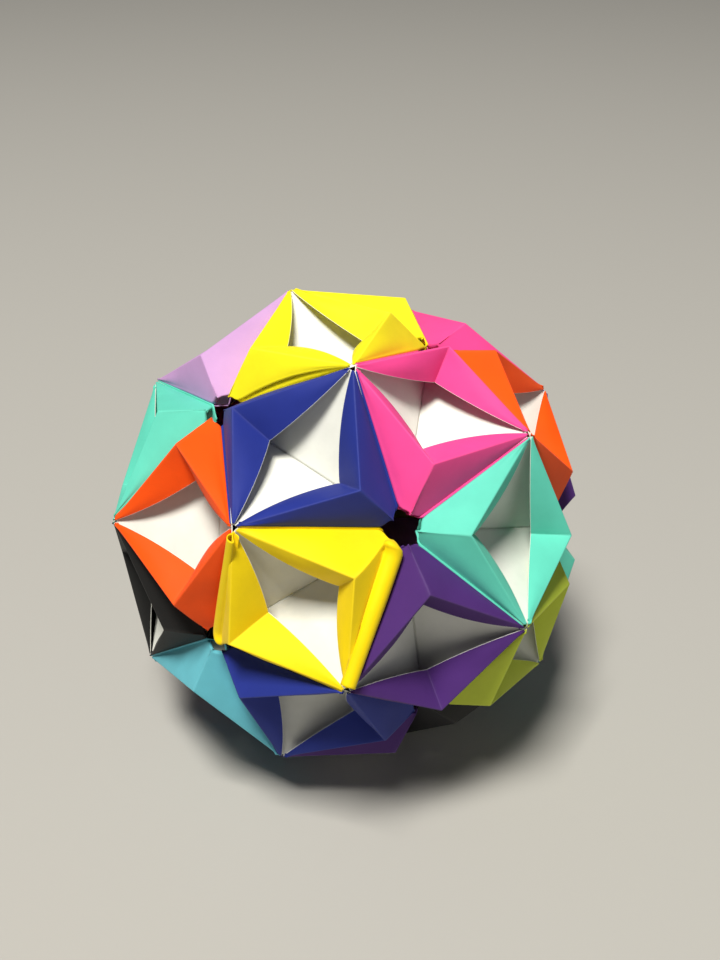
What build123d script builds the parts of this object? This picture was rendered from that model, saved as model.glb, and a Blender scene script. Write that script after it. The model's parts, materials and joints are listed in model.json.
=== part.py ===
from build123d import *
import os
from math import atan, atan2, cos, degrees, radians, sin, sqrt, tan

# A ball of thirty paper units, each folded from one square sheet.
# The ball's centre is the origin while the units are placed; at the end the
# whole ball is lifted so that it rests on Z = 0, with the origin below its centre.

# Driving dimensions, mm
sheet_side = 150.0  # side of the square sheet that one unit is folded from
wall = 0.3  # a folded wall, pressed flat: about three plies of 0.1 mm paper
crease_swell = 0.03  # how far a fold swells beyond the wall's faces
top_swell = 0.07  # how far the swelling where a flap's folds meet stands out
hem_radius = 0.6  # radius of the rolled hem along a pocket's mouth
paper_gap = 0.1  # clearance between neighbouring units' walls
star_hole = 4.0  # radius of the hole where five blunt corners meet
tip_gap = 2.5  # radius of the gap where three sharp corners meet
tab_depth = 8.0  # how far a tab reaches into its neighbour's pocket
tab_end_gap = 7.0  # a tab stops this far from either corner of its crease
tab_near_slope = 45.0  # tab's end nearest the five-fold corner, degrees
tab_free_edge = 6.412  # length of the tab's free edge between its two sloping ends

# Flat sizes of the folded square, all set by the sheet
span = sheet_side / 2  # from one five-fold corner of a unit to the other
leg = span / sqrt(2)  # side of the unit's central square
ridge = span - leg  # from a five-fold corner to the top of its flap
lip = span / 2  # from a three-fold corner to the low point of a flap's edge
slope_run = sqrt(ridge**2 / 2 + (leg - ridge / sqrt(2)) ** 2)  # flap top to three-fold corner
drop = lip - ridge  # flap top down to the low point of its edge

# The base rises from its valley by a cube corner's slope less half the turn from
# one triangle of the icosahedron to the next
golden = (1 + sqrt(5)) / 2
base_rise = atan(sqrt(2)) - atan(1 / golden**2)
valley_height = span * golden / 2
tip_reach = span / 2 * cos(base_rise)
tip_height = valley_height + span / 2 * sin(base_rise)

# Folds swell by a little more than half the wall to each side
crease_bead = wall / 2 + crease_swell
top_bead = wall / 2 + top_swell

# A tab edge reaches past the fold line by the lap, the pocket edge is trimmed, and
# the hem stands above the neighbour's tab
lap = wall + paper_gap
base_trim = wall / 2 + paper_gap
hem_lift = lap + crease_bead + paper_gap + hem_radius


def meet(near, near_reach, far, far_reach, side):
    """The point, in the unit's middle plane, at two known distances from two points."""
    dx = far[0] - near[0]
    dz = far[1] - near[1]
    apart = sqrt(dx * dx + dz * dz)
    along = (near_reach**2 - far_reach**2 + apart**2) / (2 * apart)
    across = side * sqrt(near_reach**2 - along**2)
    return (
        near[0] + (along * dx - across * dz) / apart,
        near[1] + (along * dz + across * dx) / apart,
    )


# Corners of one unit. X runs between its five-fold corners, Y between its
# three-fold corners and Z points out of the ball.
corner = (-span / 2, valley_height)
tip_middle = (0, tip_height)
top = meet(corner, ridge, tip_middle, sqrt(slope_run**2 - tip_reach**2), 1)
low = meet(top, drop, tip_middle, sqrt(lip**2 - tip_reach**2), -1)
star = Vector(corner[0], 0, corner[1])
far_star = Vector(-corner[0], 0, corner[1])
pocket_tip = Vector(0, tip_reach, tip_height)
tab_tip = Vector(0, -tip_reach, tip_height)
flap_top = Vector(top[0], 0, top[1])
flap_low = Vector(low[0], 0, low[1])


def inward(start, end, third):
    """The unit direction from the line start-end towards the third point, square to the line."""
    line = (end - start).normalized()
    reach = third - start
    return (reach - line * reach.dot(line)).normalized()


def facet_plane(start, end, third):
    """A plane with its origin at start, X along the line to end and Y towards third."""
    line = (end - start).normalized()
    across = inward(start, end, third)
    return Plane(origin=start, x_dir=line, z_dir=line.cross(across))


def on_plane(plane, points):
    """The points' flat coordinates on the plane."""
    return [(plane.to_local_coords(p).X, plane.to_local_coords(p).Y) for p in points]


# The base's two facets. Each one's tab edge reaches past the fold line by the
# lap, and its pocket edge is trimmed to clear the neighbour's wall.
tab_line = (tab_tip - star).normalized()
tab_inward = inward(star, tab_tip, far_star)
far_inward = inward(tab_tip, far_star, star)
tab_shift = tab_inward * -lap

tab_side = facet_plane(star, far_star, tab_tip)
tab_facet = [
    star,
    star + tab_shift,
    tab_tip + tab_shift,
    # The same facet's other sloping edge is the pocket edge at the far corner
    tab_tip + far_inward * base_trim,
    far_star + far_inward * base_trim,
]

# The tab turns over the ridge, square to the facet that carries it, and
# points into the ball
tab_out = tab_line.cross(tab_inward).normalized()
if tab_out.Z > 0:
    tab_out = tab_out * -1
tab_root = star + tab_shift
tab_plane = Plane(origin=tab_root, x_dir=tab_line, z_dir=tab_line.cross(tab_out))
tab_stop = leg - tab_end_gap
tab_shoulder = tab_end_gap + tab_depth / tan(radians(tab_near_slope))
tab_back = tab_shoulder + tab_free_edge

# The flap's two outer facets: one folded up from the tab crease, the other
# ending in the hem above the pocket's mouth
hem_inward = inward(star, pocket_tip, flap_top)
hem_start = star + hem_inward * hem_lift
hem_end = pocket_tip + hem_inward * hem_lift

flap_facets = [
    (star + tab_shift, tab_tip + tab_shift, flap_top),
    (hem_start, hem_end, flap_top),
    (flap_top, tab_tip, flap_low),
    (flap_top, pocket_tip, flap_low),
]
creases = [
    (star + tab_shift, tab_tip + tab_shift, crease_bead),
    (star, flap_top, crease_bead),
    (flap_top, tab_tip, crease_bead),
    (flap_top, pocket_tip, crease_bead),
    (flap_top, flap_low, crease_bead),
    (hem_start, hem_end, hem_radius),
]


def unit_half():
    """Half of a unit: the base facet on the tab side, its tab and the flap above."""
    with BuildPart() as half:
        with BuildSketch(tab_side):
            Polygon(*on_plane(tab_side, tab_facet), align=None)
        extrude(amount=wall / 2, both=True)
        with BuildSketch(tab_plane):
            Polygon(
                (tab_end_gap, 0),
                (tab_stop, 0),
                (tab_back, tab_depth),
                (tab_shoulder, tab_depth),
                align=None,
            )
        extrude(amount=wall / 2, both=True)
        for start, end, third in flap_facets:
            plane = facet_plane(start, end, third)
            with BuildSketch(plane):
                Polygon(*on_plane(plane, (start, end, third)), align=None)
            extrude(amount=wall / 2, both=True)
        for start, end, radius in creases:
            plane = Plane(origin=start, z_dir=end - start)
            with BuildSketch(plane):
                Circle(radius)
            extrude(amount=(end - start).length)
        with Locations(flap_top, flap_low):
            Sphere(top_bead)
    return half.part


half = unit_half()
with BuildPart() as unit:
    add(half)
    add(half.rotate(Axis.Z, 180))
    # The valley fold along the middle of the base
    with BuildSketch(Plane(origin=star, z_dir=(1, 0, 0))):
        Circle(crease_bead)
    extrude(amount=span)
    # Blunt corners at the five-fold holes and small gaps at the tips
    for point in (star, far_star):
        with BuildSketch(Plane(origin=point * 0.5, z_dir=point)):
            Circle(star_hole)
        extrude(amount=point.length, mode=Mode.SUBTRACT)
    for point in (pocket_tip, tab_tip):
        with BuildSketch(Plane(origin=point * 0.5, z_dir=point)):
            Circle(tip_gap)
        extrude(amount=point.length, mode=Mode.SUBTRACT)


# The twelve five-fold directions of the ball, and the thirty pairs of near ones
stars = []
for one in (-1, 1):
    for other in (-golden, golden):
        stars += [Vector(one, 0, other), Vector(other, one, 0), Vector(0, other, one)]
pairs = []
for i, first in enumerate(stars):
    for second in stars[i + 1 :]:
        if (second - first).length < 2.1:
            pairs.append((first, second))


def place(pair):
    """Level above the foot, then the bearing round the vertical axis."""
    middle = pair[0] + pair[1]
    return (round(middle.Z, 3), atan2(middle.Y, middle.X))


pairs.sort(key=place)

# The ball leans until the lowest unit stands on its two hem ends and one flap top
hem_foot = unit.part.vertices().sort_by(Axis.Z)[-1]
flap_foot = flap_top.Z + top_bead
lean = degrees(atan2(hem_foot.Z - flap_foot, -flap_top.X - abs(hem_foot.X)))
standing = []
for first, second in pairs:
    seat = Plane(origin=(0, 0, 0), x_dir=second - first, z_dir=first + second)
    standing.append(unit.part.moved(seat.location).rotate(Axis.Y, -lean))
floor = min(solid.bounding_box().min.Z for solid in standing)

os.makedirs("parts", exist_ok=True)
for number, solid in enumerate(standing, 1):
    with BuildPart() as placed:
        add(solid.translate((0, 0, -floor)))
    placed.part.label = f"folded_unit_{number:02d}"
    export_step(placed.part, f"parts/{placed.part.label}.step")
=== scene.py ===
import json
import math
import bpy
import numpy as np
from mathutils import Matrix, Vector


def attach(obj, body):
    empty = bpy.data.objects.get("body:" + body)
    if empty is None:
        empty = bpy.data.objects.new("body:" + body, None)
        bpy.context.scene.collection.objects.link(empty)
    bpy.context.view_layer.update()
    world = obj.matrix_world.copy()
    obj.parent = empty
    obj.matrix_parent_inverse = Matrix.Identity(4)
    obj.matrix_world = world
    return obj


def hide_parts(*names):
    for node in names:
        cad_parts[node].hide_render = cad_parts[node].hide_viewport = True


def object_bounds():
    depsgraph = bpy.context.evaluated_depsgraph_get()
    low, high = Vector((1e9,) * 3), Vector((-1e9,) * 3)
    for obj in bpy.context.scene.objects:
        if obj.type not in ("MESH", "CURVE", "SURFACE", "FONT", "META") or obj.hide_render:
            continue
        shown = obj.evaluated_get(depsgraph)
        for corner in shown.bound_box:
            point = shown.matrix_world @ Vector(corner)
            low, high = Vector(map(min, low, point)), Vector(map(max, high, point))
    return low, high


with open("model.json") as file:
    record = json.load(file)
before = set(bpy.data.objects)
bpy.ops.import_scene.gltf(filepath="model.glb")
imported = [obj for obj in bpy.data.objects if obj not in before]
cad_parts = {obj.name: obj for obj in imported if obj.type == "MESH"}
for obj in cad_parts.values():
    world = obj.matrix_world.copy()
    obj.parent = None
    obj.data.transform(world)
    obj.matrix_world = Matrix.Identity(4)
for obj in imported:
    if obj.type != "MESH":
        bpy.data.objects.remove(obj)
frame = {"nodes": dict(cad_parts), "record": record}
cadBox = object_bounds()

goldenRatio = (1 + 5 ** 0.5) / 2
print("stage: frame loaded,", len(frame["nodes"]), "paper units")

# the ball's skeleton, shared by every unit
ballSettings = dict(
    spanPerHeight=0.075 / 0.16415,  # five-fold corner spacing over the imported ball's height
    lean=6.79,                      # degrees the ball leans, so that it stands on one unit
)
centre = (np.array(cadBox[0]) + np.array(cadBox[1])) / 2
span = (cadBox[1][2] - cadBox[0][2]) * ballSettings["spanPerHeight"]


# middle-plane point that lies at two known distances from two others, on one side
def meetPoint(near, nearReach, far, farReach, side):
    step = far - near
    apart = np.linalg.norm(step)
    along = (nearReach ** 2 - farReach ** 2 + apart ** 2) / (2 * apart)
    across = side * math.sqrt(nearReach ** 2 - along ** 2)
    return near + (along * step + across * np.array([-step[1], step[0]])) / apart


# the base facets climb by a cube corner's slope less half the icosahedron's turn;
# the flap's crest and low point follow from the folded lengths of the square
def unitCorners(crestOut, crestUp, lipIn, lipUp):
    rise = math.atan(2 ** 0.5) - math.atan(1 / goldenRatio ** 2)
    valley = span * goldenRatio / 2
    tipReach = span / 2 * math.cos(rise)
    tipHeight = valley + span / 2 * math.sin(rise)
    leg = span / 2 ** 0.5
    ridge = span - leg
    run = math.hypot(ridge / 2 ** 0.5, leg - ridge / 2 ** 0.5)
    tip = np.array([0.0, tipHeight])
    top = meetPoint(np.array([-span / 2, valley]), ridge, tip, math.sqrt(run ** 2 - tipReach ** 2), 1)
    low = meetPoint(top, span / 2 - ridge, tip, math.sqrt((span / 2) ** 2 - tipReach ** 2), -1)
    return dict(
        star=np.array([-span / 2, 0, valley]),
        farStar=np.array([span / 2, 0, valley]),
        pocketTip=np.array([0, tipReach, tipHeight]),
        tabTip=np.array([0, -tipReach, tipHeight]),
        crest=np.array([top[0] + crestOut, 0, top[1] + crestUp]),
        lip=np.array([low[0] + lipIn, 0, low[1] + lipUp]),
    )


# the thirty unit places: one for each pair of near five-fold directions, sorted
# from the foot up and round the ball, then the whole ball leans about Y
def unitPlaces():
    stars = []
    for one in (-1, 1):
        for other in (-goldenRatio, goldenRatio):
            stars += [(one, 0, other), (other, one, 0), (0, other, one)]
    stars = np.array(stars, float)
    nearest = 2.1  # near directions are 2 apart, the others 3.2 or more
    pairs = [(i, j) for i in range(12) for j in range(i + 1, 12)
             if np.linalg.norm(stars[i] - stars[j]) < nearest]
    middles = {p: stars[p[0]] + stars[p[1]] for p in pairs}
    pairs.sort(key=lambda p: (round(middles[p][2], 3), math.atan2(middles[p][1], middles[p][0])))
    lean = math.radians(-ballSettings["lean"])
    leaning = np.array([[math.cos(lean), 0, math.sin(lean)], [0, 1, 0], [-math.sin(lean), 0, math.cos(lean)]])
    places = []
    for i, j in pairs:
        z = middles[i, j] / np.linalg.norm(middles[i, j])
        x = (stars[j] - stars[i]) / np.linalg.norm(stars[j] - stars[i])
        places.append(leaning @ np.array([x, np.cross(z, x), z]).T)
    return places


# the papers: eleven dyed faces, their white reverse and the cut edge
paperSettings = dict(
    colours=dict(
        navy=(0.015, 0.029, 0.24), pink=(0.88, 0.068, 0.30), mint=(0.115, 0.61, 0.47),
        purple=(0.066, 0.019, 0.155), yellow=(0.90, 0.80, 0.01), golden=(0.92, 0.68, 0.0),
        orange=(0.93, 0.085, 0.0), lilac=(0.54, 0.31, 0.60), sky=(0.13, 0.50, 0.60),
        lime=(0.52, 0.62, 0.05), black=(0.010, 0.010, 0.010),
    ),
    white=(0.82, 0.83, 0.77),
    core=(0.80, 0.79, 0.74),                 # the cut edge's pale core
    roughness=0.62, whiteRoughness=0.7, coreRoughness=0.8,
    ior=1.45, specular=0.22, sheen=0.03, sheenRoughness=0.6,
    mottle=60.0, mottleRange=(0.93, 1.06),   # patches per metre, and how far they shade the colour
    speckle=900.0,                           # how finely the wear breaks up
    wear=0.035,                              # how far a fold's colour pales
    fibre=2600.0,                            # fibres per metre, seen as fine relief
    fibreRelief=(0.12, 0.0001), waveRelief=(0.25, 0.0006),  # strength and height
)


# a new shader node with its own options set
def addNode(tree, kind, **values):
    node = tree.nodes.new(kind)
    for name, value in values.items():
        setattr(node, name, value)
    return node


# a noise on the piece's own coordinates
def addNoise(tree, place, scale, detail):
    noise = addNode(tree, "ShaderNodeTexNoise")
    noise.inputs["Scale"].default_value = scale
    noise.inputs["Detail"].default_value = detail
    tree.links.new(place.outputs["Object"], noise.inputs["Vector"])
    return noise


# a relief node of a given (strength, height) that reads a noise
def addRelief(tree, noise, relief):
    bump = addNode(tree, "ShaderNodeBump")
    bump.inputs["Strength"].default_value = relief[0]
    bump.inputs["Distance"].default_value = relief[1]
    tree.links.new(noise.outputs["Fac"], bump.inputs["Height"])
    return bump


# base colour = paper colour, mottled by one noise, paled along folds by the foldWear
# attribute times a speckle; relief = fine fibre noise plus a slower waviness
def paperMaterial(name, colour, roughness, wear):
    material = bpy.data.materials.new(name)
    material.use_nodes = True
    tree = material.node_tree
    link = tree.links.new
    shader = tree.nodes["Principled BSDF"]
    shader.inputs["Roughness"].default_value = roughness
    shader.inputs["IOR"].default_value = paperSettings["ior"]
    shader.inputs["Specular IOR Level"].default_value = paperSettings["specular"]
    shader.inputs["Sheen Weight"].default_value = paperSettings["sheen"]
    shader.inputs["Sheen Roughness"].default_value = paperSettings["sheenRoughness"]
    place = addNode(tree, "ShaderNodeTexCoord")

    mottle = addNoise(tree, place, paperSettings["mottle"], 5)
    mottle.inputs["Roughness"].default_value = 0.6
    shade = addNode(tree, "ShaderNodeMapRange")
    shade.inputs["From Min"].default_value = 0.3
    shade.inputs["From Max"].default_value = 0.7
    shade.inputs["To Min"].default_value = paperSettings["mottleRange"][0]
    shade.inputs["To Max"].default_value = paperSettings["mottleRange"][1]
    link(mottle.outputs["Fac"], shade.inputs["Value"])
    tinted = addNode(tree, "ShaderNodeVectorMath", operation="SCALE")
    tinted.inputs[0].default_value = colour
    link(shade.outputs["Result"], tinted.inputs["Scale"])

    worn = addNode(tree, "ShaderNodeAttribute", attribute_name="foldWear")
    speckle = addNoise(tree, place, paperSettings["speckle"], 3)
    amount = addNode(tree, "ShaderNodeMath", operation="MULTIPLY")
    link(worn.outputs["Fac"], amount.inputs[0])
    link(speckle.outputs["Fac"], amount.inputs[1])
    scaled = addNode(tree, "ShaderNodeMath", operation="MULTIPLY")
    scaled.inputs[1].default_value = wear
    link(amount.outputs["Value"], scaled.inputs[0])
    paled = addNode(tree, "ShaderNodeMix", data_type="RGBA")
    paled.inputs["B"].default_value = (*paperSettings["core"], 1)
    link(scaled.outputs["Value"], paled.inputs["Factor"])
    link(tinted.outputs["Vector"], paled.inputs["A"])
    link(paled.outputs["Result"], shader.inputs["Base Color"])

    fine = addRelief(tree, addNoise(tree, place, paperSettings["fibre"], 2), paperSettings["fibreRelief"])
    wave = addRelief(tree, mottle, paperSettings["waveRelief"])
    link(fine.outputs["Normal"], wave.inputs["Normal"])
    link(wave.outputs["Normal"], shader.inputs["Normal"])
    return material


print("stage: paper materials")
papers = {name: paperMaterial(name + "Paper", colour, paperSettings["roughness"], paperSettings["wear"])
          for name, colour in paperSettings["colours"].items()}
whitePaper = paperMaterial("whitePaper", paperSettings["white"], paperSettings["whiteRoughness"], 0.0)
paperCore = paperMaterial("paperCore", paperSettings["core"], paperSettings["coreRoughness"], 0.0)
slotOfNode = {row["node"]: row["material_slot"] for row in frame["record"]["subparts"]}
colouredFace, whiteFace, cutFace = 0, 1, 2  # a unit's material slots

# one flap of a unit
flapSettings = dict(
    crestOut=0.0008, crestUp=0.0007,   # the crest's shift from its flat-folded place
    lipIn=0.0012, lipUp=0.0028,        # the lip springs up and in from the valley
    hemRadius=0.0010, hemTipRadius=0.0006,
    hemWidening=1.4,                   # how soon the roll widens on its way from the tip
    hemTurn=78,                        # 90 = the roll runs on flush from the facet, less = it stands proud
    hemLift=0.0006,                    # room for the neighbour's tab below the hem
    hemEnd=0.1, hemEndLeast=0.2,       # share of its length where the roll closes, and how far it closes
    rollFrom=285,                      # degrees, where a roll's section starts behind the facet
    tabFoldRadius=0.00035, tabFoldTurn=80,
    tabLift=0.0,                       # how far the tab stands out of the neighbour's pocket
    tabTuck=0.0008, tabTuckPerLift=1.8,  # how deep the tab's hidden edge lies, more where it stands out
    lipBow=0.0018,                     # bow of the cut edge, mostly off the inner wall
    bowAlongWall=0.3, bowOffWall=0.9,
    facetBulge=0.0005, wallBulge=0.00035,
    cornerCut=0.21, cornerRun=0.16,    # share of the ridge lost at the star hole, and over what length
    crestShift=(0, 0, 0), lipShift=(0, 0, 0),
    tipStart=0.035,                    # where the sheet starts, as a share of the tip's edge
    foldRadius=0.0006, foldShare=0.3,  # the crest's rounding, at most this share of facet and wall
    cutEdge=0.00012, cutEdgeShare=0.4,  # width of the white cut edge, at most this share of the wall
    jitter=0.0006, rippleSize=0.00030,
    wearAcross=1.2, wearAlong=1.0,     # columns and rows that the wear reaches from crest and ridge
    rowsAlong=26, rollColumns=15, facetColumns=8, crestColumns=3, wallColumns=8,
)

# half of a unit's base
baseSettings = dict(
    lap=0.0004, trim=0.0004,           # past the tab's fold line, and short of the pocket's
    starHole=0.0064,                   # radius of the hole where five corners meet
    tipStop=0.965,                     # the last row's height, as a share of the tip's
    tabDepth=0.0036,
    tabFrom=0.12, tabFromRun=0.14,     # the tab deepens from here, over this share of its edge
    tabTo=0.86, tabToRun=0.4,          # and is gone here, after shrinking over this share
    tabLeast=0.00045, tabLeastAtHole=0.00005,
    foldRadius=0.00025,
    sag=0.0006,
    thickness=0.00026,
    rowsAcross=22, rowsAlong=22, tabColumns=4,
)

# the habits of single units and halves, as the folder made them: rolls, tabs not
# pushed home, and crests and lips out of place by (x, y, z) in the unit's frame
habits = {
    1: dict(crestOut=0.0, crestUp=0.0, hemRadius=0.0005),
    18: dict(paper="golden", hemRadius=0.0024, hemTipRadius=0.0018, hemTurn=0,
             lipShift=(0.0014, 0.0005, -0.0006)),
    (18, 1): dict(hemRadius=0.0031, hemTipRadius=0.0024, hemTurn=-28, hemLift=0.0,
                  crestShift=(0.0022, 0.0014, 0.0010), lipShift=(0.0012, 0.0030, 0.0006)),
    (17, 0): dict(crestShift=(-0.0010, 0, -0.0038), lipShift=(-0.0030, 0, -0.0042)),
    (19, 0): dict(crestShift=(0, 0.0019, 0), lipShift=(-0.0009, 0.0016, 0.0009)),
    (19, 1): dict(crestShift=(-0.0004, -0.0013, -0.0005), lipShift=(-0.0004, -0.0013, -0.0005)),
    (26, 0): dict(lipShift=(0.0013, -0.0012, -0.0007)),
    (27, 0): dict(lipShift=(0.0012, 0.0009, 0.0006)),
    (30, 0): dict(tabLift=0.0034, lipShift=(0.0038, 0.0028, 0.0052)),
    (30, 1): dict(cornerCut=0.04),
}


# each vector over its own length
def unit3(v):
    return v / np.linalg.norm(v, axis=-1, keepdims=True)


# what is left of v when its share along the unit direction d is taken off
def squareTo(v, d):
    return v - (v @ d) * d


# a row of parameters from 0 to 1 that gathers towards both ends
def gathered(count, power):
    t = np.linspace(-1, 1, count)
    t = np.sign(t) * (1 - (1 - np.abs(t)) ** power)
    return (t + 1) / 2


# smooth step 3t^2 - 2t^3 of a clipped value
def smooth(t):
    t = np.clip(t, 0, 1)
    return t * t * (3 - 2 * t)


# quad faces of a rows x columns grid whose points count on from first
def gridFaces(rows, columns, first):
    i = np.arange(rows - 1)[:, None] * columns + np.arange(columns - 1)[None, :] + first
    return np.stack([i, i + 1, i + columns + 1, i + columns], -1).reshape(-1, 4)


# slow random relief: a sum of three sine waves of random direction and phase
def ripple(points, draw, size):
    total = np.zeros(points.shape[:-1])
    for wave in range(3):
        direction = unit3(draw.normal(size=3))
        length = draw.uniform(0.016, 0.04)  # from crest to crest of a wave
        total += np.sin(points @ direction * 2 * math.pi / length + draw.uniform(0, 6.3))
    return total * size / 3


# a strip from one edge to the other: straight lines, lifted off by a bulge of
# sin(pi t) sin(pi s) and by a ripple that dies out at both edges
def bulgedStrip(start, end, t, s, normal, bulge, draw, size):
    strip = start[:, None] + (end - start)[:, None] * t
    relief = bulge * (np.sin(math.pi * t) * np.sin(math.pi * s)[:, None])
    return strip + normal * (relief + ripple(strip, draw, size)[..., None] * np.sin(math.pi * t))


# one side of a flap, as a grid: s runs from the tip to the middle ridge and the
# section runs roll -> outer facet -> crest -> inner wall -> cut edge. A roll point
# is foot + up*(lift + r + r cos a) + out*r(sin a - sin hemTurn), a turning from
# rollFrom, behind the facet, down to hemTurn, where it meets the facet
def flapSide(corners, tip, hemmed, settings, draw):
    s = settings["tipStart"] + (1 - settings["tipStart"]) * gathered(settings["rowsAlong"], 1.4)
    s = s[:, None]
    crest = tip + (corners["crest"] - tip) * s
    lip = tip + (corners["lip"] - tip) * s
    edgeLine = unit3(corners["star"] - tip)
    facetNormal = unit3(np.cross(corners["star"] - tip, corners["crest"] - tip))
    facetNormal = facetNormal * np.sign(facetNormal @ np.array([-1.0, 0, 0.3]))  # away from the window
    wallNormal = unit3(np.cross(corners["crest"] - tip, corners["lip"] - tip))
    wallNormal = wallNormal * np.sign(wallNormal[2])
    cut = 1 - settings["cornerCut"] * smooth((s - 1 + settings["cornerRun"]) / settings["cornerRun"])
    foot = crest + (corners["star"] - corners["crest"]) * s * cut
    up = unit3(squareTo(corners["crest"] - corners["star"], edgeLine))
    bow = unit3(np.cross(wallNormal, corners["lip"] - tip))
    bow = bow * -np.sign(bow[2])
    bow = settings["bowAlongWall"] * bow + settings["bowOffWall"] * wallNormal
    lip = lip + bow * settings["lipBow"] * np.sin(math.pi * s) ** 0.8

    if hemmed:
        closing = np.clip(s - (1 - settings["hemEnd"]), 0, None) / settings["hemEnd"]
        closing = np.sqrt(np.clip(1 - closing ** 2, settings["hemEndLeast"] ** 2, 1))
        growth = (settings["hemRadius"] - settings["hemTipRadius"]) * smooth(s * settings["hemWidening"])
        r = (settings["hemTipRadius"] + growth) * closing
        lift, turn = settings["hemLift"], math.radians(settings["hemTurn"])
    else:
        r, turn = settings["tabFoldRadius"] + 0 * s, math.radians(settings["tabFoldTurn"])
        lift = settings["tabLift"] * np.clip(np.sin(math.pi * s), 0, 1) ** 0.9
    angles = np.linspace(math.radians(settings["rollFrom"]), turn, settings["rollColumns"])
    middle = foot + up * (lift + r) - facetNormal * r * math.sin(turn)
    roll = (middle[:, None] + up * (r[:, None] * np.cos(angles)[None, :, None])
            + facetNormal * (r[:, None] * np.sin(angles)[None, :, None]))
    if not hemmed:  # the tab, seen where it stands out
        roll[:, 0] = foot - facetNormal * (settings["tabTuck"] + settings["tabTuckPerLift"] * lift)
    joint = roll[:, -1]

    # facet and wall, with the crest rounded as a quadratic curve
    reach = np.linalg.norm(crest - joint, axis=-1, keepdims=True)
    wallReach = np.linalg.norm(lip - crest, axis=-1, keepdims=True)
    soft = np.minimum(settings["foldRadius"], settings["foldShare"] * np.minimum(reach, wallReach))
    facetEnd = crest + (joint - crest) * soft / reach
    wallStart = crest + (lip - crest) * soft / wallReach
    cutShare = np.minimum(settings["cutEdge"] / wallReach, settings["cutEdgeShare"])
    wallEnd = lip - (lip - crest) * cutShare
    t = np.linspace(0, 1, settings["facetColumns"] + 1)[1:, None]
    facet = bulgedStrip(joint, facetEnd, t, s, facetNormal, settings["facetBulge"],
                        draw, settings["rippleSize"])
    t = np.linspace(0, 1, settings["crestColumns"] + 2)[1:-1, None]
    bend = facetEnd[:, None] * (1 - t) ** 2 + crest[:, None] * 2 * t * (1 - t) + wallStart[:, None] * t ** 2
    t = np.linspace(0, 1, settings["wallColumns"])[:, None]
    wall = bulgedStrip(wallStart, wallEnd, t, s, wallNormal, settings["wallBulge"],
                       draw, settings["rippleSize"])
    return np.concatenate([roll, facet, bend, wall, lip[:, None]], axis=1)


# a whole flap as one grid: pocket side up to the middle ridge, tab side down again;
# wear = a bell curve across the crest's columns plus one along the ridge's rows
def flapSheet(corners, settings, draw):
    pocketSide = flapSide(corners, corners["pocketTip"], True, settings, draw)
    tabSide = flapSide(corners, corners["tabTip"], False, settings, draw)[::-1]
    middle = (pocketSide[-1:] + tabSide[:1]) / 2
    grid = np.concatenate([pocketSide[:-1], middle, tabSide[1:]])
    crestAt = settings["rollColumns"] + settings["facetColumns"] + settings["crestColumns"] // 2
    columns = np.arange(grid.shape[1]) - crestAt
    rows = np.arange(len(grid)) - (len(pocketSide) - 1)
    wear = (np.exp(-(columns / settings["wearAcross"]) ** 2)[None, :]
            + np.exp(-(rows / settings["wearAlong"]) ** 2)[:, None])
    return grid, np.minimum(wear, 1)


# half of the base with its tab: rows run parallel to the valley fold, shrink
# towards the tip and stop at the star hole's circle; past the tab edge each row
# turns down square to the facet
def baseHalf(corners, settings):
    star, farStar, tip = corners["star"], corners["farStar"], corners["tabTip"]
    h = gathered(settings["rowsAcross"], 1.25)[:, None] * settings["tipStop"]
    normal = unit3(np.cross(farStar - star, tip - star))
    normal = normal * np.sign(normal[2])
    inward = unit3(squareTo(farStar - star, unit3(tip - star)))
    farInward = unit3(squareTo(star - farStar, unit3(tip - farStar)))
    along = unit3(farStar - star)
    # the hole's edge along a row at height y is sqrt(R^2 - y^2) from the corner
    y = h * np.linalg.norm(tip - (star + farStar) / 2)
    hole = np.sqrt(np.clip(settings["starHole"] ** 2 - y ** 2, 0, None))
    short = np.clip(hole - y, 0, None)
    nearRow = star + (tip - star) * h - inward * settings["lap"] + along * short
    farRow = farStar + (tip - farStar) * h + farInward * settings["trim"] - along * short
    t = gathered(settings["rowsAlong"], 1.2)[:, None]
    floor = farRow[:, None] + (nearRow - farRow)[:, None] * t
    floor = floor - normal * settings["sag"] * (np.sin(math.pi * t) * np.sin(math.pi * h)[:, None])
    depth = settings["tabDepth"] * smooth((h - settings["tabFrom"]) / settings["tabFromRun"])
    depth = depth * smooth((settings["tabTo"] - h) / settings["tabToRun"])
    depth = np.maximum(depth, np.where(short > 0, settings["tabLeastAtHole"], settings["tabLeast"]))
    turn = np.radians([30, 60, 90])[None, :, None]
    fold = settings["foldRadius"] * (inward * np.sin(turn) + normal * (1 - np.cos(turn)))
    bend = nearRow[:, None] - fold
    share = np.linspace(1 / settings["tabColumns"], 1, settings["tabColumns"])[None, :, None]
    tab = bend[:, -1:] - normal * depth[:, None] * share
    return np.concatenate([floor, bend, tab], axis=1), floor.shape[1]


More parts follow.
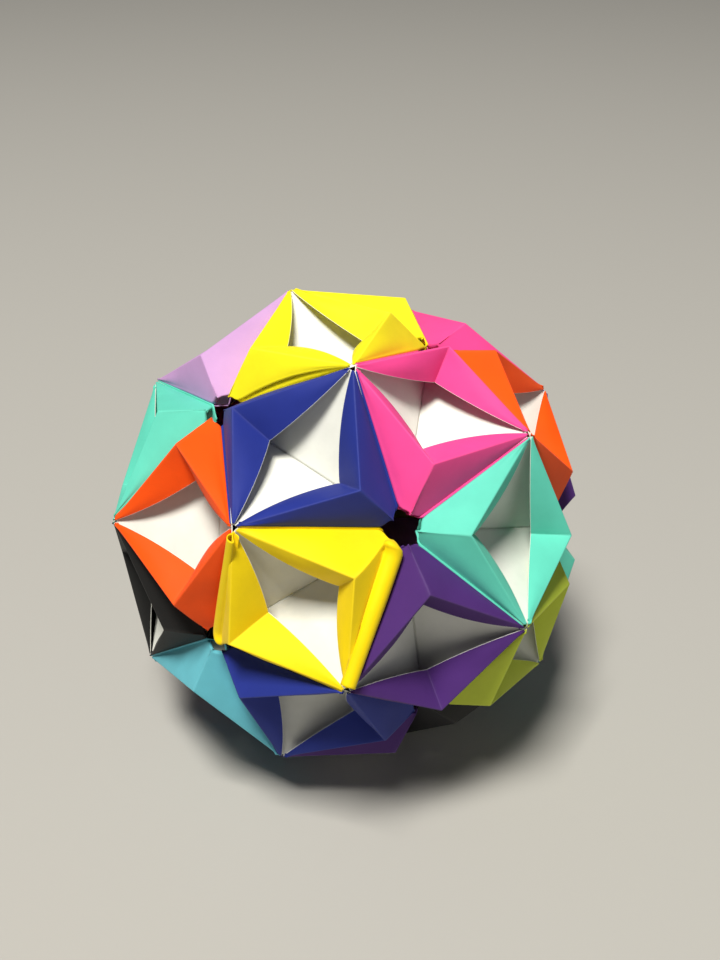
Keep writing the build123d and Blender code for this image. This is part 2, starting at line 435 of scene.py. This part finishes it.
# puts several grids into one mesh; every grid brings its fold wear and, per
# column of faces, the material slot that shows
def sheetMesh(name, grids, place):
    points, faces, sides, wears = [], [], [], []
    first = 0
    for grid, wear, side in grids:
        rows, columns = grid.shape[:2]
        points.append(grid.reshape(-1, 3))
        wears.append(np.broadcast_to(wear, (rows, columns)).reshape(-1))
        faces.append(gridFaces(rows, columns, first))
        sides.append(np.tile(side, rows - 1))
        first += rows * columns
    points = np.concatenate(points) @ place.T + centre
    faces = np.concatenate(faces)
    mesh = bpy.data.meshes.new(name)
    mesh.vertices.add(len(points))
    mesh.vertices.foreach_set("co", points.ravel())
    mesh.loops.add(faces.size)
    mesh.loops.foreach_set("vertex_index", faces.ravel())
    mesh.polygons.add(len(faces))
    mesh.polygons.foreach_set("loop_start", np.arange(0, faces.size, 4))
    mesh.polygons.foreach_set("loop_total", np.full(len(faces), 4))
    mesh.update(calc_edges=True)
    mesh.polygons.foreach_set("material_index", np.concatenate(sides).astype(np.int32))
    mesh.polygons.foreach_set("use_smooth", np.ones(len(faces), bool))
    attribute = mesh.attributes.new("foldWear", "FLOAT", "POINT")
    attribute.data.foreach_set("value", np.concatenate(wears))
    mesh.validate()
    return mesh


# one folded unit: two flaps and two base halves, the second half turned about Z by
# a half turn, each with its own small chance shifts and its folder's habits
def buildUnit(number, place):
    node = f"folded_unit_{number:02d}"
    colour = habits.get(number, {}).get("paper", slotOfNode[node].replace("_paper", ""))
    draw = np.random.default_rng(number)
    grids = []
    for half in range(2):
        settings = {**flapSettings, **habits.get(number, {}), **habits.get((number, half), {})}
        shift = draw.normal(size=4) * settings["jitter"]
        corners = unitCorners(settings["crestOut"] + shift[0], settings["crestUp"] + shift[1],
                              settings["lipIn"] + shift[2], settings["lipUp"] + shift[3])
        corners["crest"] = corners["crest"] + settings["crestShift"]
        corners["lip"] = corners["lip"] + settings["lipShift"]
        turn = np.diag([1.0, 1, 1]) if half == 0 else np.diag([-1.0, -1, 1])
        sheet, wear = flapSheet(corners, settings, draw)
        side = np.full(sheet.shape[1] - 1, colouredFace)
        side[-1] = cutFace
        grids.append((sheet @ turn, wear, side))
        floor, floorColumns = baseHalf(corners, baseSettings)
        side = np.where(np.arange(floor.shape[1] - 1) < floorColumns - 2, whiteFace, colouredFace)
        side[0] = colouredFace  # the colour comes round the folds at both edges of the floor
        grids.append((floor @ turn, 0.0, side))
    mesh = sheetMesh(f"foldedPaper{number:02d}", grids, place)
    for material in (papers[colour], whitePaper, paperCore):
        mesh.materials.append(material)
    piece = bpy.data.objects.new(f"foldedPaper{number:02d}", mesh)
    bpy.context.scene.collection.objects.link(piece)
    wall = piece.modifiers.new("paper", "SOLIDIFY")
    wall.thickness = baseSettings["thickness"]
    wall.offset = 0
    wall.material_offset = -1  # the floor's underside shows the coloured face
    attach(piece, "root")
    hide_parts(node)


for number, place in enumerate(unitPlaces(), 1):
    buildUnit(number, place)
print("stage: thirty folded units")

# floor, light and camera
sceneSettings = dict(
    floorColour=(0.43, 0.42, 0.395), floorRoughness=0.85, floorSize=6.0,
    cameraPlace=(-0.1309, -0.3542, 0.3415), heading=20.93, pitch=-32.55, lens=46.84,
    worldColour=(0.95, 0.96, 1.0), worldStrength=0.08,
)
lightSettings = dict(
    keyLight=dict(power=98.0, size=0.65, place=(-0.65, -0.67, 2.51), colour=(1.0, 0.97, 0.90)),
    fillLight=dict(power=0.5, size=0.8, place=(0.5, -0.9, 0.5), colour=(0.93, 0.96, 1.0)),
)


# one flat square at the ball's foot
def buildFloor():
    size = sceneSettings["floorSize"]
    mesh = bpy.data.meshes.new("floor")
    square = [(-size, -size, 0), (size, -size, 0), (size, size, 0), (-size, size, 0)]
    mesh.from_pydata(square, [], [(0, 1, 2, 3)])
    floor = bpy.data.objects.new("floor", mesh)
    bpy.context.scene.collection.objects.link(floor)
    material = bpy.data.materials.new("paleFloor")
    material.use_nodes = True
    shader = material.node_tree.nodes["Principled BSDF"]
    shader.inputs["Base Color"].default_value = (*sceneSettings["floorColour"], 1)
    shader.inputs["Roughness"].default_value = sceneSettings["floorRoughness"]
    mesh.materials.append(material)


# a square light that faces the ball's centre
def areaLight(name, power, size, place, colour):
    data = bpy.data.lights.new(name, "AREA")
    data.energy = power
    data.size = size
    data.color = colour
    light = bpy.data.objects.new(name, data)
    light.location = place
    aim = Vector(centre) - Vector(place)
    light.rotation_euler = aim.to_track_quat("-Z", "Y").to_euler()
    bpy.context.scene.collection.objects.link(light)


# heading turns the view clockwise from +Y, pitch tips it down
def buildCamera():
    data = bpy.data.cameras.new("camera")
    data.lens = sceneSettings["lens"]
    data.sensor_width = 36
    camera = bpy.data.objects.new("camera", data)
    camera.location = sceneSettings["cameraPlace"]
    heading = math.radians(sceneSettings["heading"])
    camera.rotation_euler = (math.radians(90 + sceneSettings["pitch"]), 0, -heading)
    bpy.context.scene.collection.objects.link(camera)
    bpy.context.scene.camera = camera


buildFloor()
for name, light in lightSettings.items():
    areaLight(name, **light)
world = bpy.data.worlds.new("softRoom")
world.use_nodes = True
background = world.node_tree.nodes["Background"]
background.inputs["Color"].default_value = (*sceneSettings["worldColour"], 1)
background.inputs["Strength"].default_value = sceneSettings["worldStrength"]
bpy.context.scene.world = world
buildCamera()
bpy.context.scene.view_settings.view_transform = "Standard"
print("stage: floor, light and camera")
